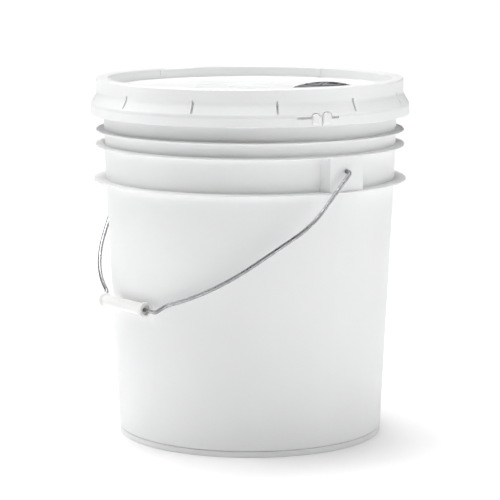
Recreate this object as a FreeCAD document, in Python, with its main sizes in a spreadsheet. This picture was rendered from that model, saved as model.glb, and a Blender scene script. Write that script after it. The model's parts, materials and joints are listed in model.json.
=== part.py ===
import FreeCAD, Part

# Plastic fermenting pail: a tapered pail with three stiffening rings and two bail ears, a wire bail
# with a turning grip, and a gasketed tear-band lid that carries a pull-up pour spout.
# Millimetres, +Z up.  The origin is on the pail's axis at the level it stands on, and the bail
# pivots about a line parallel to X.
import math
import os
import re

import Sketcher
from FreeCAD import Placement, Rotation, Vector

DIMENSIONS = {
    # pail: foot, tapered wall, collar above the lowest ring, rim
    "foot_radius": 129.7,
    "foot_inner_radius": 125.2,
    "foot_height": 5.8,
    "groove_radius": 128.7,
    "groove_height": 0.9,
    "floor_low": 4.6,
    "floor_top": 7.4,
    "wall_radius": 129.9,
    "wall_draft": 0.0478,
    "wall_thickness": 2.3,
    "collar_radius": 142.0,
    "collar_draft": 0.0251,
    "ring_half": 1.0,
    "low_ring_height": 252.4,
    "low_ring_radius": 153.7,
    "mid_ring_height": 286.3,
    "mid_ring_radius": 151.9,
    "top_ring_height": 300.7,
    "top_ring_radius": 151.25,
    "rim_low": 335.5,
    "rim_top": 346.0,
    "rim_radius": 148.0,
    "mouth_radius": 141.7,
    # bail ears on the collar, one on each side, open downwards
    "ear_face": 150.2,
    "ear_half_width": 19.5,
    "ear_root": 138.0,
    "ear_root_half_width": 24.4,
    "ear_wall": 2.2,
    "ear_cavity_root": 143.2,
    "ear_cavity_half_width": 17.0,
    "ear_roof": 2.0,
    "ear_hole_radius": 2.2,
    # bail wire: half of its centre line, as distances from the pail's axis and from the pivot line
    "pivot_height": 272.2,
    "bail_hang": 47.1,
    "wire_radius": 1.9,
    "wire_tip": 145.4,
    "wire_head_radius": 3.0,
    "wire_head_length": 1.6,
    "hook_reach": 156.8,
    "shoulder_reach": 161.6,
    "shoulder_drop": 67.6,
    "bow_reach": 99.8,
    "bow_drop": 162.8,
    "kink_reach": 51.0,
    "kink_drop": 186.3,
    "grip_entry": 43.5,
    "grip_drop": 196.8,
    "hook_bend": 5.0,
    "shoulder_bend": 60.0,
    "bow_bend": 170.0,
    "kink_bend": 9.0,
    "entry_bend": 4.8,
    # grip: a turning tube with a flange and a recess at each end, slid along the wire by the shift
    "grip_half_length": 35.6,
    "grip_shift": -8.0,
    "grip_radius": 5.8,
    "flange_radius": 7.4,
    "flange_length": 3.0,
    "recess_radius": 4.4,
    "recess_depth": 2.6,
    "grip_bore": 2.2,
    # lid: recessed panel, plug wall, crown and flared skirt
    "panel_low": 339.0,
    "panel_top": 341.0,
    "well_radius": 138.6,
    "plug_radius": 140.8,
    "plug_low": 332.0,
    "crown_low": 349.4,
    "crown_top": 351.6,
    "skirt_radius": 150.4,
    "skirt_thickness": 1.9,
    "flare_top": 337.0,
    "flare_low": 327.0,
    "hem_bend": 4.5,
    "hem_setback": 1.17,
    "skirt_bend": 9.0,
    "skirt_setback": 2.34,
    "hem_radius": 156.0,
    "score_height": 325.6,
    "band_radius": 156.4,
    "band_low": 316.5,
    "slit_count": 12,
    "slit_angle": 2.6,
    "slit_width": 2.2,
    "slit_low": 328.5,
    "slit_top": 340.4,
    "lug_count": 5,
    "lug_angle": 112.0,
    "lug_width": 3.2,
    "lug_depth": 1.3,
    "lug_low": 344.0,
    "lug_top": 350.0,
    # tear band: where it starts, a pull tab on each side of that gap in a window of the skirt, and
    # a finger slot beyond each tab
    "tear_angle": -11.6,
    "tear_gap": 1.6,
    "tab_low": 318.6,
    "tab_radius": 157.6,
    "tab_rounding": 1.0,
    "window_gap": 1.1,
    "far_tab_offset": 2.4,
    "far_tab_width": 7.0,
    "far_tab_top": 327.9,
    "far_tab_bend": 2.6,
    "near_tab_offset": 1.9,
    "near_tab_width": 8.2,
    "near_tab_top": 328.9,
    "near_tab_bend": 3.2,
    "slot_low": 323.3,
    "far_slot_offset": 6.4,
    "far_slot_width": 15.6,
    "near_slot_offset": 4.9,
    "near_slot_width": 8.8,
    # gasket under the crown
    "gasket_inner": 141.3,
    "gasket_outer": 147.9,
    # pour spout: where its axis stands, the neck moulded on the lid, and the crimp ring
    "spout_x": 91.5,
    "spout_y": 21.9,
    "collar_bore": 21.6,
    "collar_outer": 23.4,
    "bead_outer": 25.2,
    "bead_low": 343.8,
    "bead_top": 345.1,
    "crimp_bore": 21.5,
    "crimp_shoulder": 26.6,
    "crimp_brow": 30.4,
    "crimp_radius": 31.2,
    "crimp_seat": 25.9,
    "crimp_seat_height": 346.6,
    "crimp_shoulder_height": 347.3,
    "crimp_brow_height": 346.1,
    "crimp_edge_height": 345.2,
    "crimp_sheet": 0.6,
    # flexible boot, folded down inside the lid
    "boot_radius": 21.0,
    "boot_wall": 1.0,
    "boot_low": 327.5,
    # rigid spout tube inside the boot
    "tube_bore": 13.5,
    "tube_radius": 15.5,
    "tube_foot": 17.0,
    "tube_top": 345.6,
    "thread_radius": 16.1,
    "thread_half": 0.5,
    "thread_pitch": 4.0,
    "seal_radius": 15.3,
    "seal_thickness": 0.4,
    "liner_thickness": 0.8,
    # screw cap with a domed top and two pull rings lying in it
    "cap_bore": 16.5,
    "cap_skirt": 18.9,
    "cap_low": 332.0,
    "cap_flange_low": 346.9,
    "cap_radius": 25.4,
    "cap_edge_top": 347.6,
    "dome_top": 351.0,
    "dome_radius": 97.0,
    "well_floor": 347.6,
    "cap_well_radius": 20.4,
    "pull_radius": 18.2,
    "pull_low": 347.9,
    "pull_hinge": 15.8,
    "pull_split": 0.5,
    "pull_bar": 3.6,
    "cap_turned": 35.0,
}

doc = FreeCAD.newDocument("fermenting_pail")
sheet = doc.addObject("Spreadsheet::Sheet", "dims")
for row, (alias, number) in enumerate(DIMENSIONS.items(), 1):
    sheet.set("A%d" % row, alias)
    sheet.set("B%d" % row, str(number))
    sheet.setAlias("B%d" % row, alias)
doc.recompute()

NODES = []


def prefix(word):
    return "dims." + word if word in DIMENSIONS else word


def bound(expression):
    """The expression with every alias pointed at the sheet."""
    return re.sub(r"[a-z]\w*", lambda word: prefix(word.group(0)), expression)


def size(expression):
    """The number that an expression over the sheet's aliases stands for."""
    return float(sheet.evalExpression(bound(expression)))


def new_body(name, x="0", y="0"):
    """A PartDesign body that is a node of the model, its origin moved to x, y."""
    body = doc.addObject("PartDesign::Body", name)
    body.Label = name
    body.setExpression("Placement.Base.x", bound(x))
    body.setExpression("Placement.Base.y", bound(y))
    NODES.append(body)
    return body


def origin_plane(body, role):
    return next(item for item in body.Origin.OriginFeatures if item.Role == role)


def arc_between(start, end, radius):
    """The short arc from start to end; it turns anticlockwise if the radius is positive."""
    half = (end - start) * 0.5
    left = Vector(-half.y, half.x, 0).normalize() * math.copysign(1, radius)
    bow = abs(radius) - math.sqrt(radius ** 2 - half.Length ** 2)
    return Part.Arc(start, start + half - left * bow, end)


def pin_corner(sketch, edge, end, corner):
    """Hold one end of an edge at a corner given as two expressions."""
    for kind, axis, value in (("DistanceX", -2, corner[0]), ("DistanceY", -1, corner[1])):
        if abs(size(value)) < 1e-9:
            sketch.addConstraint(Sketcher.Constraint("PointOnObject", edge, end, axis))
            continue
        number = sketch.addConstraint(Sketcher.Constraint(kind, -1, 1, edge, end, size(value)))
        sketch.setExpression("Constraints[%d]" % number, bound(value))


def new_sketch(body, name, plane, lift="0", turn=0.0):
    """A sketch on an origin plane, raised along its normal and turned about the body's Z axis."""
    sketch = body.newObject("Sketcher::SketchObject", name)
    sketch.AttachmentSupport = [(origin_plane(body, plane), "")]
    sketch.MapMode = "FlatFace"
    axis = Vector(0, 0, 1) if plane == "XY_Plane" else Vector(0, 1, 0)
    sketch.AttachmentOffset = Placement(Vector(), Rotation(axis, turn))
    if plane == "YZ_Plane" and turn:
        sketch.setExpression("AttachmentOffset.Base.x", bound("(%s) * sin(%f)" % (lift, turn)))
        lift = "(%s) * cos(%f)" % (lift, turn)
    sketch.setExpression("AttachmentOffset.Base.z", bound(lift))
    return sketch


def outline(body, name, plane, corners, lift="0", turn=0.0):
    """A closed sketch; a third value on a corner makes the edge that leaves it an arc."""
    sketch = new_sketch(body, name, plane, lift, turn)
    points = [Vector(size(corner[0]), size(corner[1]), 0) for corner in corners]
    ends = []
    for corner, start, end in zip(corners, points, points[1:] + points[:1]):
        if len(corner) == 2:
            sketch.addGeometry(Part.LineSegment(start, end))
            ends.append((1, 2))
        else:
            sketch.addGeometry(arc_between(start, end, size(corner[2])))
            ends.append((1, 2) if size(corner[2]) > 0 else (2, 1))
    for edge, corner in enumerate(corners):
        following = (edge + 1) % len(corners)
        join = Sketcher.Constraint("Coincident", edge, ends[edge][1], following, ends[following][0])
        sketch.addConstraint(join)
        pin_corner(sketch, edge, ends[edge][0], corner)
        if len(corner) == 3:
            radius = corner[2].lstrip("-")
            number = sketch.addConstraint(Sketcher.Constraint("Radius", edge, size(radius)))
            sketch.setExpression("Constraints[%d]" % number, bound(radius))
    return sketch


def circle(body, name, plane, centre, radius, lift="0"):
    """A sketch of one circle."""
    sketch = new_sketch(body, name, plane, lift)
    middle = Vector(size(centre[0]), size(centre[1]), 0)
    sketch.addGeometry(Part.Circle(middle, Vector(0, 0, 1), size(radius)))
    pin_corner(sketch, 0, 3, centre)
    number = sketch.addConstraint(Sketcher.Constraint("Radius", 0, size(radius)))
    sketch.setExpression("Constraints[%d]" % number, bound(radius))
    return sketch


def rectangle(low_x, high_x, low_y, high_y):
    return [(low_x, low_y), (high_x, low_y), (high_x, high_y), (low_x, high_y)]


def turned(body, name, corners, cut=False, about="V_Axis"):
    """A full revolution of an outline drawn in the XZ plane, added to or cut from the body."""
    sketch = outline(body, name + "_outline", "XZ_Plane", corners)
    feature = body.newObject("PartDesign::Groove" if cut else "PartDesign::Revolution", name)
    feature.Profile = sketch
    feature.ReferenceAxis = (sketch, [about])
    feature.Angle = 360
    return feature


def raised(body, name, sketch, length, cut=False, both_ways=False, flip=False):
    """A pad or a pocket along a sketch's normal, straight or to both sides of it."""
    feature = body.newObject("PartDesign::Pocket" if cut else "PartDesign::Pad", name)
    feature.Profile = sketch
    feature.setExpression("Length", bound(length))
    feature.SideType = "Symmetric" if both_ways else "One side"
    feature.Reversed = flip
    return feature


def round_rims(body, base, name, radius, rims, about="z"):
    """Fillet the circular edges of base that have these radii and heights along the axis."""
    doc.recompute()
    wanted = [(size(rim), size(height)) for rim, height in rims]
    picked = []
    for number, edge in enumerate(base.Shape.Edges, 1):
        if not isinstance(edge.Curve, Part.Circle):
            continue
        height = getattr(edge.Curve.Center, about)
        if any(math.hypot(edge.Curve.Radius - rim, height - level) < 0.02 for rim, level in wanted):
            picked.append("Edge%d" % number)
    if len(picked) < len(rims):
        raise RuntimeError("%s: %d of %d rims found" % (name, len(picked), len(rims)))
    fillet = body.newObject("PartDesign::Fillet", name)
    fillet.Base = (base, picked)
    fillet.setExpression("Radius", bound(radius))
    return fillet


def repeated(body, name, originals, count):
    """Copies of the features, evenly spaced about the body's Z axis."""
    pattern = body.newObject("PartDesign::PolarPattern", name)
    pattern.Originals = originals
    pattern.Axis = (origin_plane(body, "Z_Axis"), [""])
    pattern.Angle = 360
    pattern.setExpression("Occurrences", bound(count))
    body.Tip = pattern
    return pattern


def wall_at(height):
    return "wall_radius + wall_draft * (%s)" % height


def collar_at(height):
    return "collar_radius + collar_draft * (%s - low_ring_height)" % height


def pail_body():
    """The pail: foot ring, tapered wall, three rings, rolled rim and two hollow bail ears."""
    body = new_body("pail_body")
    groove_top = "foot_height + groove_height"
    corners = [
        ("0", "floor_low"),
        ("foot_inner_radius", "floor_low"),
        ("foot_inner_radius", "0"),
        ("foot_radius", "0"),
        ("foot_radius", "foot_height"),
        ("groove_radius", "foot_height"),
        ("groove_radius", groove_top),
        (wall_at(groove_top), groove_top),
    ]
    rims = []
    for ring, wall in (("low_ring", wall_at), ("mid_ring", collar_at), ("top_ring", collar_at)):
        low, high = ring + "_height - ring_half", ring + "_height + ring_half"
        corners += [(wall(low), low), (ring + "_radius", low), (ring + "_radius", high)]
        corners += [(collar_at(high), high)]
        rims += [(ring + "_radius", low), (ring + "_radius", high)]
    corners += [
        (collar_at("rim_low"), "rim_low"),
        ("rim_radius", "rim_low + 2"),
        ("rim_radius", "rim_top"),
        ("0", "rim_top"),
    ]
    shell = turned(body, "shell", corners)
    shell = round_rims(body, shell, "ring_edges", "0.9 * ring_half", rims)
    foot = [("foot_radius", "0"), ("foot_radius", "foot_height")]
    shell = round_rims(body, shell, "foot_edges", "0.7", foot)
    ear_outline = [
        ("ear_root", "-ear_root_half_width"),
        ("ear_face", "-ear_half_width"),
        ("ear_face", "ear_half_width"),
        ("ear_root", "ear_root_half_width"),
    ]
    ear_height = "mid_ring_height - low_ring_height"
    boss_sketch = outline(body, "ear_outline", "XY_Plane", ear_outline, "low_ring_height")
    boss = raised(body, "ear", boss_sketch, ear_height)
    cavity_outline = rectangle(
        "ear_cavity_root", "ear_face - ear_wall", "-ear_cavity_half_width", "ear_cavity_half_width"
    )
    cavity_low = "low_ring_height - 4 * ring_half"
    cavity_sketch = outline(body, "ear_cavity_outline", "XY_Plane", cavity_outline, cavity_low)
    cavity_height = ear_height + " + 4 * ring_half - ear_roof"
    cavity = raised(body, "ear_cavity", cavity_sketch, cavity_height, cut=True, flip=True)
    centre = ("0", "pivot_height")
    inside_ear = "ear_face - 2 * ear_wall"
    hole_sketch = circle(body, "ear_hole_outline", "YZ_Plane", centre, "ear_hole_radius", inside_ear)
    hole = raised(body, "ear_hole", hole_sketch, "3 * ear_wall", cut=True, flip=True)
    repeated(body, "ears", [boss, cavity, hole], "2")
    inside = [
        ("0", "floor_top"),
        (wall_at("floor_top") + " - wall_thickness", "floor_top"),
        (wall_at("low_ring_height") + " - wall_thickness", "low_ring_height"),
        ("mouth_radius", "rim_low - 6"),
        ("mouth_radius", "rim_top + 1"),
        ("0", "rim_top + 1"),
    ]
    hollow = turned(body, "hollow", inside, cut=True)
    floor_edge = [(wall_at("floor_top") + " - wall_thickness", "floor_top")]
    hollow = round_rims(body, hollow, "floor_corner", "6", floor_edge)
    round_rims(body, hollow, "rim_edges", "1.6", [("mouth_radius", "rim_top"), ("rim_radius", "rim_top")])


def rounded_path(corners, bends):
    """A wire of straight runs joined by tangent arcs, one bend radius for each inner corner."""
    edges = []
    here = corners[0]
    for before, corner, after, bend in zip(corners, corners[1:], corners[2:], bends):
        inward = (before - corner).normalize()
        outward = (after - corner).normalize()
        turn = math.pi - inward.getAngle(outward)
        setback = bend * math.tan(turn / 2)
        start, end = corner + inward * setback, corner + outward * setback
        bisector = (inward + outward).normalize()
        middle = corner + bisector * bend * (1 / math.cos(turn / 2) - 1)
        edges.append(Part.LineSegment(here, start).toShape())
        edges.append(Part.Arc(start, middle, end).toShape())
        here = end
    edges.append(Part.LineSegment(here, corners[-1]).toShape())
    return Part.Wire(edges)


def bail_placement():
    """The bail's own frame: X along the pivot line, Z from the pivot towards the grip."""
    return Placement(Vector(0, 0, size("pivot_height")), Rotation(Vector(1, 0, 0), 180 - size("bail_hang")))


def bail_wire():
    """One bent wire whose upset heads sit inside the two ears."""
    half = [
        ("wire_tip", "0"),
        ("hook_reach", "0"),
        ("shoulder_reach", "shoulder_drop"),
        ("bow_reach", "bow_drop"),
        ("kink_reach", "kink_drop"),
        ("grip_entry", "grip_drop"),
    ]
    bends = [size(name) for name in ("hook_bend", "shoulder_bend", "bow_bend", "kink_bend", "entry_bend")]
    right = [Vector(size(reach), 0, size(drop)) for reach, drop in half]
    left = [Vector(-corner.x, 0, corner.z) for corner in reversed(right)]
    route = doc.addObject("Part::Feature", "bail_route")
    route.Shape = rounded_path(right + left, bends + bends[::-1])
    section = doc.addObject("Part::Circle", "wire_section")
    section.setExpression("Radius", bound("wire_radius"))
    section.Placement = Placement(right[0], Rotation(Vector(0, 0, 1), Vector(1, 0, 0)))
    rod = doc.addObject("Part::Sweep", "wire_rod")
    rod.Sections = [section]
    rod.Spine = (route, ["Edge%d" % number for number in range(1, len(route.Shape.Edges) + 1)])
    rod.Solid = True
    pieces = [rod]
    for side in (1, -1):
        head = doc.addObject("Part::Cylinder", "wire_head")
        head.setExpression("Radius", bound("wire_head_radius"))
        head.setExpression("Height", bound("wire_head_length"))
        head.Placement = Placement(right[0] * side, Rotation(Vector(0, 0, 1), Vector(side, 0, 0)))
        pieces.append(head)
    wire = doc.addObject("Part::MultiFuse", "bail_wire")
    wire.Label = "bail_wire"
    wire.Shapes = pieces
    wire.Placement = bail_placement()
    NODES.append(wire)


def bail_grip():
    """The grip: a tube free to turn on the wire, flanged and recessed at both ends."""
    body = doc.addObject("PartDesign::Body", "bail_grip")
    body.Label = "bail_grip"
    NODES.append(body)
    neck_end = "grip_half_length - flange_length"
    recess_end = "grip_half_length - recess_depth"
    half = [
        ("grip_half_length", "recess_radius"),
        ("grip_half_length", "flange_radius"),
        (neck_end, "flange_radius"),
        (neck_end + " - 1.5", "grip_radius"),
    ]
    bore = [(recess_end, "grip_bore"), (recess_end, "recess_radius")]
    mirrored = [("-(%s)" % along, radius) for along, radius in half[::-1]]
    corners = half + mirrored + [("-(%s)" % along, radius) for along, radius in bore[::-1]] + bore
    tube = turned(body, "tube", corners, about="H_Axis")
    ends = [
        (radius, sign + "grip_half_length")
        for radius in ("flange_radius", "recess_radius")
        for sign in ("", "-")
    ]
    round_rims(body, tube, "end_edges", "0.8", ends, about="x")
    seat = Vector(size("grip_shift"), 0, size("grip_drop"))
    body.Placement = bail_placement().multiply(Placement(seat, Rotation()))


TABS = (("far_tab", -1), ("near_tab", 1))


def tear_angle(feature, side):
    """Where a feature of the tear band stands, to one side of the band's gap, in degrees from X."""
    return size("tear_angle") + side * size(feature + "_offset")


def tab_face_edge(edge, angle, width):
    """Whether the edge bounds the outer face of the pull tab that stands at angle."""
    outward = Vector(math.cos(math.radians(angle)), math.sin(math.radians(angle)), 0)
    along_face = Vector(-outward.y, outward.x, 0)
    return all(
        abs(corner.Point.dot(outward) - size("tab_radius")) < 0.01
        and abs(corner.Point.dot(along_face)) < 0.51 * width
        for corner in edge.Vertexes
    )


def lobe(tab, low, gap):
    """The round-topped outline of a pull tab as seen from outside, grown by gap."""
    half = "%s_width / 2 + %s" % (tab, gap)
    top = "%s_top + %s" % (tab, gap)
    bend = "%s_bend + %s" % (tab, gap)
    return [
        ("-(%s)" % half, low),
        (half, low),
        (half, "%s - (%s)" % (top, bend), bend),
        ("%s - (%s)" % (half, bend), top),
        ("%s - (%s)" % (bend, half), top, bend),
        ("-(%s)" % half, "%s - (%s)" % (top, bend)),
    ]


def lid():
    """The lid moulding: panel, plug wall, crown, flared skirt with slits, lugs and spout collar."""
    body = new_body("lid")
    inner_skirt = "skirt_radius - skirt_thickness"
    flare_length = "sqrt((hem_radius - skirt_radius)^2 + (flare_top - flare_low)^2)"
    run = "(hem_radius - skirt_radius) / " + flare_length
    rise = "(flare_top - flare_low) / " + flare_length
    corners = [
        ("0", "panel_low"),
        ("well_radius", "panel_low"),
        ("well_radius + 0.6", "plug_low"),
        ("plug_radius", "plug_low"),
        ("plug_radius", "crown_low"),
        (inner_skirt, "crown_low"),
        (inner_skirt, "flare_top"),
        ("hem_radius - skirt_thickness", "flare_low"),
        ("hem_radius - skirt_thickness", "score_height"),
        ("hem_radius", "score_height"),
        ("hem_radius", "flare_low - hem_setback", "hem_bend"),
        ("hem_radius - hem_setback * " + run, "flare_low + hem_setback * " + rise),
        ("skirt_radius + skirt_setback * " + run, "flare_top - skirt_setback * " + rise, "-skirt_bend"),
        ("skirt_radius", "flare_top + skirt_setback"),
        ("skirt_radius", "crown_top"),
        ("well_radius", "crown_top"),
        ("well_radius", "panel_top"),
        ("0", "panel_top"),
    ]
    shell = turned(body, "shell", corners)
    crown = [("skirt_radius", "crown_top"), ("well_radius", "crown_top")]
    shell = round_rims(body, shell, "crown_edges", "1.7", crown)
    round_rims(body, shell, "panel_corner", "1.8", [("well_radius", "panel_top")])
    slit_outline = rectangle("plug_radius + 4", "band_radius + 2", "slit_low", "slit_top")
    slit_sketch = outline(body, "slit_outline", "XZ_Plane", slit_outline, turn=size("slit_angle"))
    slit = raised(body, "slit", slit_sketch, "slit_width", cut=True, both_ways=True)
    repeated(body, "slits", [slit], "slit_count")
    lug_outline = rectangle("well_radius - lug_depth", "well_radius + 0.8", "lug_low", "lug_top")
    lug_sketch = outline(body, "lug_outline", "XZ_Plane", lug_outline, turn=size("lug_angle"))
    lug = raised(body, "lug", lug_sketch, "lug_width", both_ways=True)
    repeated(body, "lugs", [lug], "lug_count")
    for tab, side in TABS:
        window = lobe(tab, "score_height - 1", "window_gap")
        turn = tear_angle(tab, side)
        sketch = outline(body, tab + "_window_outline", "YZ_Plane", window, "skirt_radius", turn)
        raised(body, tab + "_window", sketch, "band_radius + 2 - skirt_radius", cut=True, flip=True)
    centre = ("spout_x", "spout_y")
    for name, radius, low, high in (
        ("spout_collar", "collar_outer", "panel_low", "bead_top"),
        ("spout_bead", "bead_outer", "bead_low", "bead_top"),
    ):
        disc = circle(body, name + "_outline", "XY_Plane", centre, radius, low)
        raised(body, name, disc, "%s - %s" % (high, low))
    opening = circle(body, "spout_opening_outline", "XY_Plane", centre, "collar_bore", "panel_low - 1")
    raised(body, "spout_opening", opening, "bead_top - panel_low + 2", cut=True, flip=True)


def tear_band():
    """The band below the score line that is torn off to open the lid, with its two pull tabs."""
    body = new_body("tear_band")
    thickness = "skirt_thickness"
    corners = [
        ("hem_radius - " + thickness, "score_height"),
        ("band_radius - " + thickness, "band_low"),
        ("band_radius", "band_low"),
        ("hem_radius", "score_height"),
    ]
    band = turned(body, "band", corners)
    hem = [("band_radius", "band_low"), ("hem_radius", "score_height")]
    round_rims(body, band, "band_edges", "0.5", hem)
    for tab, side in TABS:
        turn = tear_angle(tab, side)
        corners = lobe(tab, "tab_low", "0")
        sketch = outline(body, tab + "_outline", "YZ_Plane", corners, "hem_radius - 1", turn)
        pad = raised(body, tab, sketch, "tab_radius - hem_radius + 1")
        doc.recompute()
        face_edges = [
            "Edge%d" % number
            for number, edge in enumerate(pad.Shape.Edges, 1)
            if tab_face_edge(edge, turn, size(tab + "_width"))
        ]
        rounding = body.newObject("PartDesign::Fillet", tab + "_edges")
        rounding.Base = (pad, face_edges)
        rounding.setExpression("Radius", bound("tab_rounding"))
    for slot, side in (("far_slot", -1), ("near_slot", 1)):
        corners = rectangle("hem_radius - 4", "tab_radius + 1", "slot_low", "score_height + 1")
        sketch = outline(body, slot + "_outline", "XZ_Plane", corners, turn=tear_angle(slot, side))
        raised(body, slot, sketch, slot + "_width", cut=True, both_ways=True)
    corners = rectangle("hem_radius - 4", "tab_radius + 1", "band_low - 1", "near_tab_top + 1")
    sketch = outline(body, "tear_gap_outline", "XZ_Plane", corners, turn=size("tear_angle"))
    raised(body, "tear_gap_cut", sketch, "tear_gap", cut=True, both_ways=True)


def lid_gasket():
    """The soft ring in the lid's channel that the pail's rim presses into."""
    body = new_body("lid_gasket")
    corners = rectangle("gasket_inner", "gasket_outer", "rim_top", "crown_low")
    ring = turned(body, "ring", corners)
    round_rims(body, ring, "ring_edges", "0.6", [("gasket_inner", "rim_top"), ("gasket_outer", "rim_top")])


def crimp_ring():
    """The ring pressed over the spout bead: it clamps the boot's flange and seats the cap's edge."""
    body = new_body("crimp_ring", "spout_x", "spout_y")
    corners = [
        ("crimp_radius", "panel_top"),
        ("crimp_radius", "crimp_edge_height"),
        ("crimp_brow", "crimp_brow_height"),
        ("crimp_shoulder", "crimp_shoulder_height"),
        ("crimp_seat", "crimp_seat_height"),
        ("crimp_bore", "crimp_seat_height"),
        ("crimp_bore", "crimp_seat_height - crimp_sheet"),
        ("crimp_seat", "crimp_seat_height - crimp_sheet"),
        ("crimp_shoulder", "crimp_shoulder_height - crimp_sheet"),
        ("crimp_brow", "crimp_brow_height - crimp_sheet"),
        ("crimp_radius - crimp_sheet", "crimp_edge_height - crimp_sheet"),
        ("crimp_radius - crimp_sheet", "panel_top"),
    ]
    ring = turned(body, "ring", corners)
    brow = [
        ("crimp_radius", "crimp_edge_height"),
        ("crimp_brow", "crimp_brow_height"),
        ("crimp_shoulder", "crimp_shoulder_height"),
    ]
    round_rims(body, ring, "brow_edges", "0.5", brow)


def spout_boot():
    """The flexible sleeve folded down inside the lid; it turns inside out when the spout is pulled."""
    body = new_body("spout_boot", "spout_x", "spout_y")
    flange_top = "crimp_seat_height - crimp_sheet"
    corners = [
        ("boot_radius - boot_wall", flange_top),
        ("boot_radius - boot_wall", "boot_low + boot_wall"),
        ("tube_foot", "boot_low + boot_wall"),
        ("tube_foot", "boot_low"),
        ("boot_radius", "boot_low"),
        ("boot_radius", "bead_top"),
        ("bead_outer", "bead_top"),
        ("bead_outer", flange_top),
    ]
    sleeve = turned(body, "sleeve", corners)
    round_rims(body, sleeve, "fold_edge", "0.8", [("boot_radius", "boot_low")])


def spout_tube():
    """The rigid pouring tube, with a foot that joins the boot and ridges for the screw cap."""
    body = new_body("spout_tube", "spout_x", "spout_y")
    corners = [
        ("tube_bore", "boot_low"),
        ("tube_foot", "boot_low"),
        ("tube_foot", "boot_low + boot_wall"),
        ("tube_radius", "boot_low + boot_wall"),
    ]
    for turn in (2, 1):
        ridge = "tube_top - %d * thread_pitch" % turn
        corners += [
            ("tube_radius", ridge + " - 2 * thread_half"),
            ("thread_radius", ridge + " - thread_half"),
            ("thread_radius", ridge + " + thread_half"),
            ("tube_radius", ridge + " + 2 * thread_half"),
        ]
    corners += [("tube_radius", "tube_top"), ("tube_bore", "tube_top")]
    turned(body, "tube", corners)


def disc(name, radius, low, thickness):
    """A plain disc or foil on the spout's axis."""
    body = new_body(name, "spout_x", "spout_y")
    sketch = circle(body, "disc_outline", "XY_Plane", ("0", "0"), radius, low)
    raised(body, "disc", sketch, thickness)


def spout_cap():
    """The screw cap: threaded skirt, wide domed flange and a round well for the pull rings."""
    body = new_body("spout_cap", "spout_x", "spout_y")
    ceiling = "tube_top + seal_thickness + liner_thickness"
    corners = [
        ("0", ceiling),
        ("cap_bore", ceiling),
        ("cap_bore", "cap_low"),
        ("cap_skirt", "cap_low"),
        ("cap_skirt", "cap_flange_low"),
        ("cap_radius", "cap_flange_low"),
        ("cap_radius", "cap_edge_top"),
        ("cap_well_radius", "dome_top - dome_radius + sqrt(dome_radius^2 - cap_well_radius^2)"),
        ("cap_well_radius", "well_floor"),
        ("0", "well_floor"),
    ]
    turned(body, "shell", corners)


def pull_ring(name, side):
    """Half of the domed grip on the cap: a D-shaped finger ring hinged at its outer edge."""
    body = new_body(name, "spout_x", "spout_y")
    dome_edge = "dome_top - dome_radius + sqrt(dome_radius^2 - pull_radius^2)"
    corners = [
        ("0", "pull_low"),
        ("pull_radius", "pull_low"),
        ("pull_radius", dome_edge, "dome_radius"),
        ("0", "dome_top"),
    ]
    turned(body, "dome", corners)
    sign = "" if side > 0 else "-"
    turn = size("cap_turned")
    trims = {
        "inner_trim": ("-%s(pull_radius + 1)" % sign, sign + "pull_split"),
        "outer_trim": (sign + "pull_hinge", "%s(pull_radius + 1)" % sign),
    }
    for trim, (near, far) in trims.items():
        cut_outline = rectangle(near, far, "-(pull_radius + 1)", "pull_radius + 1")
        sketch = outline(body, trim + "_outline", "XY_Plane", cut_outline, "pull_low - 1", turn)
        raised(body, trim, sketch, "dome_top - pull_low + 2", cut=True, flip=True)
    opening = [
        (sign + "(pull_split + pull_bar)", "-(pull_radius - 7)"),
        (sign + "(pull_hinge - 2.6)", "-(pull_radius - 10.6)"),
        (sign + "(pull_hinge - 2.6)", "pull_radius - 10.6"),
        (sign + "(pull_split + pull_bar)", "pull_radius - 7"),
    ]
    sketch = outline(body, "finger_hole_outline", "XY_Plane", opening, "pull_low - 1", turn)
    raised(body, "finger_hole", sketch, "dome_top - pull_low + 2", cut=True, flip=True)


pail_body()
bail_wire()
bail_grip()
lid()
tear_band()
lid_gasket()
crimp_ring()
spout_boot()
spout_tube()
disc("seal_foil", "seal_radius", "tube_top", "seal_thickness")
disc("cap_liner", "seal_radius", "tube_top + seal_thickness", "liner_thickness")
spout_cap()
pull_ring("pull_ring_right", 1)
pull_ring("pull_ring_left", -1)
doc.recompute()

# every pad and revolution has to add material to its body, every pocket and groove to take some away
GROWTH = {
    "PartDesign::Pad": 1,
    "PartDesign::Revolution": 1,
    "PartDesign::Pocket": -1,
    "PartDesign::Groove": -1,
}
for item in doc.Objects:
    if "Invalid" in item.State or "Error" in item.State:
        raise RuntimeError("%s failed: %s" % (item.Name, item.State))
    if item.TypeId in GROWTH and item.BaseFeature:
        change = item.Shape.Volume - item.BaseFeature.Shape.Volume
        if not item.Shape.isValid() or GROWTH[item.TypeId] * change < 0.01:
            raise RuntimeError("%s changed its body by %.3f mm3" % (item.Name, change))
os.makedirs("parts", exist_ok=True)
for node in NODES:
    if node.Shape.isNull() or not node.Shape.isValid():
        raise RuntimeError("%s has no valid shape" % node.Label)
    node.Shape.exportStep("parts/%s.step" % node.Label)
    print("%-16s %9.1f mm3, %d solid" % (node.Label, node.Shape.Volume, len(node.Shape.Solids)))
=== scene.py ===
import json
import math

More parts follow.
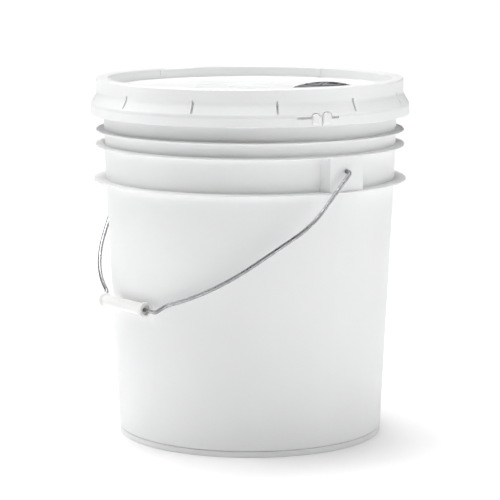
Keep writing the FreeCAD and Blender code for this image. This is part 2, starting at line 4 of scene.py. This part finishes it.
import bmesh
import bpy
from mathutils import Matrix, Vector


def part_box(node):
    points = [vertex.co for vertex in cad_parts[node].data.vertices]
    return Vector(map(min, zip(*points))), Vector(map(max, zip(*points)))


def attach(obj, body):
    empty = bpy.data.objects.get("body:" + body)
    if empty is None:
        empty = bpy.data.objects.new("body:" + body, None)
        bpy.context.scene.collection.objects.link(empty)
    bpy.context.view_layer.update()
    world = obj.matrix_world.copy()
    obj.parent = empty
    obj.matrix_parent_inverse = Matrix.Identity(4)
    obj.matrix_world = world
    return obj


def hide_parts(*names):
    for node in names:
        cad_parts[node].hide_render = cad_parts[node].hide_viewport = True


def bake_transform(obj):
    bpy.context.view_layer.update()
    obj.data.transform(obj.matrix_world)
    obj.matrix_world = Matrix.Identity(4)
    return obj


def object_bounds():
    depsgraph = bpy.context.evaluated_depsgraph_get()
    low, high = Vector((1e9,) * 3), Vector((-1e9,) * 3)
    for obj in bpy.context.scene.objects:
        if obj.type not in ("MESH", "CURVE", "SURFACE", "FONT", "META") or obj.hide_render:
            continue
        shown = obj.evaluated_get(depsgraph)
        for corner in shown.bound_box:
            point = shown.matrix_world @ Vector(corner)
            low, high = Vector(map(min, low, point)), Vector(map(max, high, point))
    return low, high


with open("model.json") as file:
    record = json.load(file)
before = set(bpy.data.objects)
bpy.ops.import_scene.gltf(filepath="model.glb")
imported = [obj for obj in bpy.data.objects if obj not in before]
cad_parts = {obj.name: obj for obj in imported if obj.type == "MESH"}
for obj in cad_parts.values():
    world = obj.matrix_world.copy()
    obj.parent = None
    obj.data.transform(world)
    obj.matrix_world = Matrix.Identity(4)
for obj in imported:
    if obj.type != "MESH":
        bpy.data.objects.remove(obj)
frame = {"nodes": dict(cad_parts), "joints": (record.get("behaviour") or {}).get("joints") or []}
CAD_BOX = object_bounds()
NODES = frame["nodes"]


# ---------------------------------------------------------------- measures taken from the frame

def middle(node):
    """Centre of a CAD node's box."""
    low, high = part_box(node)
    return (low + high) / 2


SPOUT = middle("spout_cap")


# ---------------------------------------------------------------- material building blocks

class Shader:
    """A Principled material under construction, with short ways to add and join nodes."""

    def __init__(self, name):
        self.material = bpy.data.materials.new(name)
        self.material.use_nodes = True
        self.nodes = self.material.node_tree.nodes
        self.links = self.material.node_tree.links
        self.surface = self.nodes["Principled BSDF"]
        self.place = self.nodes.new("ShaderNodeTexCoord").outputs["Object"]

    def set(self, **values):
        for socket, value in values.items():
            self.surface.inputs[socket.replace("_", " ").title().replace("Ior", "IOR")].default_value = value

    def join(self, source, target):
        self.links.new(source, target)

    def stretch(self, scale):
        """The object's coordinates, scaled along each axis."""
        node = self.nodes.new("ShaderNodeMapping")
        node.inputs["Scale"].default_value = scale
        self.join(self.place, node.inputs["Vector"])
        return node.outputs["Vector"]

    def noise(self, scale, detail=3.0, vector=None, distortion=0.0):
        node = self.nodes.new("ShaderNodeTexNoise")
        node.inputs["Scale"].default_value = scale
        node.inputs["Detail"].default_value = detail
        node.inputs["Distortion"].default_value = distortion
        self.join(vector or self.place, node.inputs["Vector"])
        return node.outputs["Fac"]

    def remap(self, value, low, high, to_low, to_high):
        node = self.nodes.new("ShaderNodeMapRange")
        for socket, number in (("From Min", low), ("From Max", high), ("To Min", to_low), ("To Max", to_high)):
            node.inputs[socket].default_value = number
        self.join(value, node.inputs["Value"])
        return node.outputs["Result"]

    def math(self, operation, first, second):
        node = self.nodes.new("ShaderNodeMath")
        node.operation = operation
        for socket, value in zip(node.inputs, (first, second)):
            if isinstance(value, (int, float)):
                socket.default_value = value
            else:
                self.join(value, socket)
        return node.outputs["Value"]

    def mix(self, factor, first, second):
        node = self.nodes.new("ShaderNodeMix")
        node.data_type = "RGBA"
        self.join(factor, node.inputs["Factor"])
        for socket, colour in ((node.inputs["A"], first), (node.inputs["B"], second)):
            if isinstance(colour, tuple):
                socket.default_value = (*colour, 1.0)
            else:
                self.join(colour, socket)
        return node.outputs["Result"]

    def colour(self, value):
        self.join(value, self.surface.inputs["Base Color"])

    def roughness(self, value):
        self.join(value, self.surface.inputs["Roughness"])

    def bump(self, layers):
        """Stack of (height, distance in metres) layers, each a bump on the one before."""
        normal = None
        for height, distance in layers:
            node = self.nodes.new("ShaderNodeBump")
            node.inputs["Distance"].default_value = distance
            self.join(height, node.inputs["Height"])
            if normal:
                self.join(normal, node.inputs["Normal"])
            normal = node.outputs["Normal"]
        self.join(normal, self.surface.inputs["Normal"])


def polyethylene(name, light, shade, roughness=0.42):
    """Satin moulded plastic: soft colour drift, orange peel, faint flow lines and rubbed patches."""
    shader = Shader(name)
    shader.set(subsurface_weight=0.12, subsurface_scale=0.004, subsurface_radius=(1.0, 0.9, 0.8))
    drift = shader.noise(9.0, 2.0)
    shader.colour(shader.mix(shader.remap(drift, 0.3, 0.7, 0.0, 1.0), light, shade))
    rubbed = shader.noise(38.0, 6.0, distortion=0.4)
    shader.roughness(shader.remap(rubbed, 0.35, 0.75, roughness - 0.05, roughness + 0.09))
    flow = shader.noise(26.0, 2.0, shader.stretch((1.0, 1.0, 0.12)))
    shader.bump([
        (flow, 0.0006),
        (shader.noise(900.0, 1.0), 0.00003),
        (shader.noise(240.0, 2.0), 0.00006),
    ])
    return shader.material


def zinc_wire():
    """Drawn steel wire with a bright zinc skin: fine lengthwise draw lines and dull patches."""
    shader = Shader("zinc_wire")
    shader.set(metallic=1.0)
    patches = shader.noise(210.0, 5.0)
    shader.colour(shader.mix(shader.remap(patches, 0.35, 0.7, 0.0, 1.0), (0.44, 0.445, 0.455), (0.3, 0.305, 0.32)))
    shader.roughness(shader.remap(patches, 0.3, 0.75, 0.2, 0.42))
    shader.bump([(shader.noise(1500.0, 2.0), 0.00003)])
    return shader.material


def dark_moulding(name, light, shade, roughness):
    """Dark moulded plastic with a slightly grained skin and paler rubbed places."""
    shader = Shader(name)
    shader.colour(shader.mix(shader.remap(shader.noise(60.0, 5.0), 0.35, 0.7, 0.0, 1.0), light, shade))
    shader.roughness(shader.remap(shader.noise(180.0, 4.0), 0.3, 0.7, roughness - 0.07, roughness + 0.09))
    shader.bump([(shader.noise(1600.0, 2.0), 0.00004), (shader.noise(220.0, 2.0), 0.00006)])
    return shader.material


def foam(name, light, shade):
    """Closed-cell foam: matt, with small pits."""
    shader = Shader(name)
    cells = shader.noise(1400.0, 4.0)
    shader.colour(shader.mix(shader.remap(cells, 0.35, 0.65, 0.0, 1.0), shade, light))
    shader.roughness(shader.remap(cells, 0.3, 0.7, 0.8, 0.95))
    shader.bump([(cells, 0.00012)])
    return shader.material


def foil():
    """Thin aluminium with a faint crinkle."""
    shader = Shader("seal_foil")
    shader.set(metallic=1.0)
    crinkle = shader.noise(320.0, 5.0, distortion=1.2)
    shader.colour(shader.mix(crinkle, (0.78, 0.78, 0.8), (0.9, 0.9, 0.91)))
    shader.roughness(shader.remap(crinkle, 0.3, 0.7, 0.25, 0.4))
    shader.bump([(crinkle, 0.0002)])
    return shader.material


def dress(material, *objects):
    for piece in objects:
        piece.data.materials.clear()
        piece.data.materials.append(material)


# ---------------------------------------------------------------- mesh pieces

def lathe(name, profile, centre=(0.0, 0.0), segments=192, start=0.0, sweep=360.0):
    """A closed profile of (radius, height) points turned about a vertical line, whole or in part."""
    mesh = bpy.data.meshes.new(name)
    shape = bmesh.new()
    whole = sweep >= 360.0
    rows = []
    for step in range(segments if whole else segments + 1):
        a = math.radians(start + sweep * step / segments)
        c, s = math.cos(a), math.sin(a)
        rows.append([shape.verts.new((centre[0] + r * c, centre[1] + r * s, z)) for r, z in profile])
    count = len(profile)
    for step in range(segments):
        here, there = rows[step], rows[(step + 1) % len(rows)]
        for k in range(count):
            n = (k + 1) % count
            shape.faces.new((here[k], there[k], there[n], here[n]))
    if not whole:
        shape.faces.new(rows[0])
        shape.faces.new(list(reversed(rows[-1])))
    bmesh.ops.remove_doubles(shape, verts=shape.verts, dist=1e-7)
    bmesh.ops.delete(shape, geom=[edge for edge in shape.edges if edge.is_wire], context="EDGES")
    bmesh.ops.recalc_face_normals(shape, faces=shape.faces)
    for face in shape.faces:
        face.smooth = True
    shape.to_mesh(mesh)
    shape.free()
    mesh.set_sharp_from_angle(angle=math.radians(40))
    piece = bpy.data.objects.new(name, mesh)
    bpy.context.scene.collection.objects.link(piece)
    return piece


def corner(centre, radius, start, end, steps=6):
    """Points of an arc in a profile, by its centre and its end angles in degrees."""
    points = []
    for k in range(steps + 1):
        a = math.radians(start + (end - start) * k / steps)
        points.append((centre[0] + radius * math.cos(a), centre[1] + radius * math.sin(a)))
    return points


def make_boot():
    """The flexible sleeve with its shallow pleats: it turns inside out as the spout is pulled up."""
    low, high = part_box("spout_boot")
    top, bottom = high.z, low.z
    rim = (high.x - low.x) / 2
    shelf = top - 0.0009
    outer, inner = 0.0210, 0.0200

    def pleat(z):
        return 0.00022 * math.sin((z - bottom) / 0.0024 * 2 * math.pi)

    heights = [shelf - 0.0006 - k * (shelf - bottom - 0.0032) / 48 for k in range(49)]
    profile = [(rim, top), (rim, shelf), (outer + 0.0004, shelf)]
    profile += [(outer + pleat(z), z) for z in heights]
    profile += corner((outer - 0.0022, bottom + 0.0022), 0.0022, 0, -90)
    profile += [(0.0170, bottom), (0.0170, bottom + 0.0010)]
    profile += corner((outer - 0.0022, bottom + 0.0022), 0.0012, -90, 0)
    profile += [(inner + pleat(z), z) for z in reversed(heights)]
    profile += [(inner + 0.0002, top)]
    boot = lathe("boot_sleeve", profile, (SPOUT.x, SPOUT.y))
    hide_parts("spout_boot")
    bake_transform(boot)
    return boot


def make_gasket():
    """The foamed ring in the lid's channel, crowned below and set by the rim that presses into it."""
    low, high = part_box("lid_gasket")
    outer = (high.x - low.x) / 2
    inner = outer - 0.0066
    top, bottom = high.z, low.z
    profile = [(outer, top), (inner, top)]
    profile += corner((inner + 0.0012, bottom + 0.0012), 0.0012, 180, 250)
    for k in range(1, 12):
        share = k / 12
        sag = 0.00035 * math.exp(-((share - 0.45) / 0.13) ** 2)
        profile.append((inner + 0.0012 + (outer - inner - 0.0024) * share, bottom + sag))
    profile += corner((outer - 0.0012, bottom + 0.0012), 0.0012, -70, 0)
    gasket = lathe("gasket_ring", profile, segments=360)
    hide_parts("lid_gasket")
    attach(gasket, "lid")
    return gasket


def make_liner():
    """The foamed disc in the cap, dented where the spout's lip bears on it."""
    low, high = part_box("cap_liner")
    radius = (high.x - low.x) / 2
    profile = [(0.0, high.z), (radius, high.z)]
    profile += corner((radius - 0.00025, low.z + 0.00025), 0.00025, 0, -90, 3)
    for k in range(1, 20):
        r = radius * (1 - k / 20)
        profile.append((r, low.z + 0.00018 * math.exp(-((r - 0.0145) / 0.0006) ** 2)))
    profile.append((0.0, low.z))
    liner = lathe("liner_disc", profile, (SPOUT.x, SPOUT.y), 96)
    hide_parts("cap_liner")
    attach(liner, "cap")
    return liner


def collar_radius(z):
    return 0.1420 + 0.0251 * (z - 0.2524)


def make_parting_lines():
    """Where the mould halves meet, a fine raised line runs down the collar between its rings."""
    lines = []
    for side, azimuth in (("front", -46.5), ("rear", 133.5)):
        for level, low, high in (("low", 0.2535, 0.2852), ("mid", 0.2874, 0.2996), ("top", 0.3018, 0.3300)):
            inner = [collar_radius(z) - 0.0004 for z in (low, high)]
            outer = [collar_radius(z) + 0.00018 for z in (low, high)]
            profile = [(inner[0], low), (outer[0], low), (outer[1], high), (inner[1], high)]
            name = "parting_line_%s_%s" % (side, level)
            line = lathe(name, profile, segments=2, start=azimuth - 0.14, sweep=0.28)
            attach(line, "pail")
            lines.append(line)
    return lines


def make_moulding_marks():
    """Gate vestige and raised rings under the floor and on the lid's panel."""
    marks = []
    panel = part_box("crimp_ring")[0].z
    floor = CAD_BOX[0].z + 0.0046
    for name, body, slot_name, radii, z, rise in (
        ("floor_ring", "pail", "pail_plastic", (0.042, 0.084), floor, -0.0005),
        ("panel_ring", "lid", "lid_plastic", (0.020, 0.0535), panel, 0.0005),
    ):
        for number, radius in enumerate(radii, 1):
            profile = [(radius - 0.0011, z - rise), (radius + 0.0011, z - rise)]
            profile += [(radius + 0.0008 * math.cos(math.radians(a)), z + rise * math.sin(math.radians(a)))
                        for a in range(0, 181, 30)]
            ring = lathe("%s_%d" % (name, number), profile, segments=144)
            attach(ring, body)
            marks.append(ring)
    for name, body, slot_name, z, rise in (
        ("floor_gate", "pail", "pail_plastic", floor, -0.0012),
        ("panel_gate", "lid", "lid_plastic", panel, 0.0008),
    ):
        profile = [(0.0, z - rise), (0.0034, z - rise), (0.0034, z + rise * 0.25), (0.0024, z + rise * 0.6),
                   (0.0016, z + rise * 0.6), (0.0010, z + rise), (0.0, z + rise)]
        gate = lathe(name, profile, segments=48)
        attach(gate, body)
        marks.append(gate)
    return marks


def make_hinge_straps():
    """The thin moulded straps that the two pull rings bend on, at the outer edge of the cap's well."""
    straps = []
    for side in (1, -1):
        joint = next(j for j in frame["joints"] if j["name"] == ("pull_right_lift" if side > 0 else "pull_left_lift"))
        x, y, z = joint["pos_m"]
        out = Vector((x - SPOUT.x, y - SPOUT.y, 0)).normalized()
        along = Vector((-out.y, out.x, 0))
        mesh = bpy.data.meshes.new("strap")
        shape = bmesh.new()
        bmesh.ops.create_cube(shape, size=1.0)
        for vert in shape.verts:
            place = Vector((x, y, z - 0.00025)) - out * 0.0006
            vert.co = place + out * (vert.co.x * 0.0011) + along * (vert.co.y * 0.0072) + Vector((0, 0, vert.co.z * 0.0005))
        bmesh.ops.bevel(shape, geom=list(shape.edges), offset=0.00012, segments=2, affect="EDGES")
        shape.to_mesh(mesh)
        shape.free()
        strap = bpy.data.objects.new("hinge_strap_%s" % ("right" if side > 0 else "left"), mesh)
        bpy.context.scene.collection.objects.link(strap)
        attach(strap, "cap")
        straps.append(strap)
    return straps


# ---------------------------------------------------------------- stage: camera, lights, floor

CAMERA_AZIMUTH = math.radians(53.07)
CAMERA_DISTANCE = 2.223
CAMERA_HEIGHT = 0.525
CAMERA_PITCH = math.radians(8.84)
LENS = 163.2


def aim(thing, direction):
    thing.rotation_mode = "QUATERNION"
    thing.rotation_quaternion = direction.to_track_quat("-Z", "Y")


def make_camera():
    data = bpy.data.cameras.new("camera")
    data.sensor_width = 36.0
    data.lens = LENS
    camera = bpy.data.objects.new("camera", data)
    bpy.context.scene.collection.objects.link(camera)
    away = Vector((math.sin(CAMERA_AZIMUTH), -math.cos(CAMERA_AZIMUTH), 0))
    camera.location = away * CAMERA_DISTANCE + Vector((0, 0, CAMERA_HEIGHT))
    aim(camera, -away * math.cos(CAMERA_PITCH) - Vector((0, 0, math.sin(CAMERA_PITCH))))
    bpy.context.scene.camera = camera


def around(azimuth, elevation):
    """Unit vector from the object towards a place, by its azimuth and elevation in degrees."""
    a, e = math.radians(azimuth), math.radians(elevation)
    return Vector((math.sin(a) * math.cos(e), -math.cos(a) * math.cos(e), math.sin(e)))


def sun(name, azimuth, elevation, strength, softness):
    data = bpy.data.lights.new(name, "SUN")
    data.energy = strength
    data.angle = math.radians(softness)
    light = bpy.data.objects.new(name, data)
    bpy.context.scene.collection.objects.link(light)
    aim(light, -around(azimuth, elevation))


def softbox(name, azimuth, elevation, distance, width, height, power):
    data = bpy.data.lights.new(name, "AREA")
    data.shape = "RECTANGLE"
    data.size, data.size_y = width, height
    data.energy = power
    light = bpy.data.objects.new(name, data)
    bpy.context.scene.collection.objects.link(light)
    aim_at = Vector((0, 0, CAD_BOX[1].z / 2))
    light.location = aim_at + around(azimuth, elevation) * distance
    aim(light, aim_at - light.location)


def make_floor():
    mesh = bpy.data.meshes.new("floor")
    shape = bmesh.new()
    bmesh.ops.create_circle(shape, cap_ends=True, segments=96, radius=16.0)
    shape.to_mesh(mesh)
    shape.free()
    floor = bpy.data.objects.new("floor", mesh)
    floor.location.z = CAD_BOX[0].z
    bpy.context.scene.collection.objects.link(floor)
    shader = Shader("floor")
    shader.set(roughness=0.9)
    shader.colour(shader.mix(shader.noise(3.0, 2.0), (0.93, 0.93, 0.93), (0.95, 0.95, 0.95)))
    dress(shader.material, floor)


def make_light():
    world = bpy.data.worlds.new("world")
    world.use_nodes = True
    background = world.node_tree.nodes["Background"]
    background.inputs["Color"].default_value = (1.0, 1.0, 1.0, 1.0)
    background.inputs["Strength"].default_value = 0.0
    bpy.context.scene.world = world
    sun("overhead", -60, 84, 2.05, 50)
    sun("key", -60, 62, 0.62, 60)
    sun("behind", 233, 66, 1.1, 40)
    softbox("left_box", -50, 20, 2.0, 1.2, 1.6, 5.6)
    softbox("front_left_box", -25, 20, 2.0, 1.2, 1.6, 4.2)
    softbox("high_front_box", 53, 48, 2.0, 1.2, 1.0, 6.0)
    softbox("right_box", 125, 20, 2.0, 1.2, 1.6, 9.6)
    bpy.context.scene.view_settings.view_transform = "Standard"


make_camera()
make_floor()
make_light()

pail_white = polyethylene("pail_polyethylene", (0.90, 0.905, 0.905), (0.88, 0.885, 0.885))
lid_white = polyethylene("lid_polyethylene", (0.91, 0.915, 0.915), (0.89, 0.895, 0.895), roughness=0.36)
grip_white = polyethylene("grip_polyethylene", (0.9, 0.9, 0.89), (0.88, 0.88, 0.87), roughness=0.4)
cap_grey = dark_moulding("cap_moulding", (0.21, 0.213, 0.22), (0.17, 0.172, 0.18), 0.48)
boot_grey = dark_moulding("boot_moulding", (0.2, 0.203, 0.21), (0.17, 0.172, 0.18), 0.6)
foam_white = foam("foam", (0.85, 0.85, 0.82), (0.74, 0.74, 0.7))

dress(pail_white, NODES["pail_body"])
dress(lid_white, NODES["lid"], NODES["tear_band"])
dress(grip_white, NODES["bail_grip"])
dress(zinc_wire(), NODES["bail_wire"])
dress(cap_grey, NODES["crimp_ring"], NODES["spout_cap"], NODES["pull_ring_right"], NODES["pull_ring_left"])
dress(boot_grey, NODES["spout_tube"], NODES["spout_boot"])
dress(foam_white, NODES["lid_gasket"], NODES["cap_liner"])
dress(foil(), NODES["seal_foil"])

dress(boot_grey, make_boot())
dress(foam_white, make_gasket(), make_liner())
dress(pail_white, *make_parting_lines())
for mark in make_moulding_marks():
    dress(pail_white if mark.name.startswith("floor") else lid_white, mark)
dress(cap_grey, *make_hinge_straps())
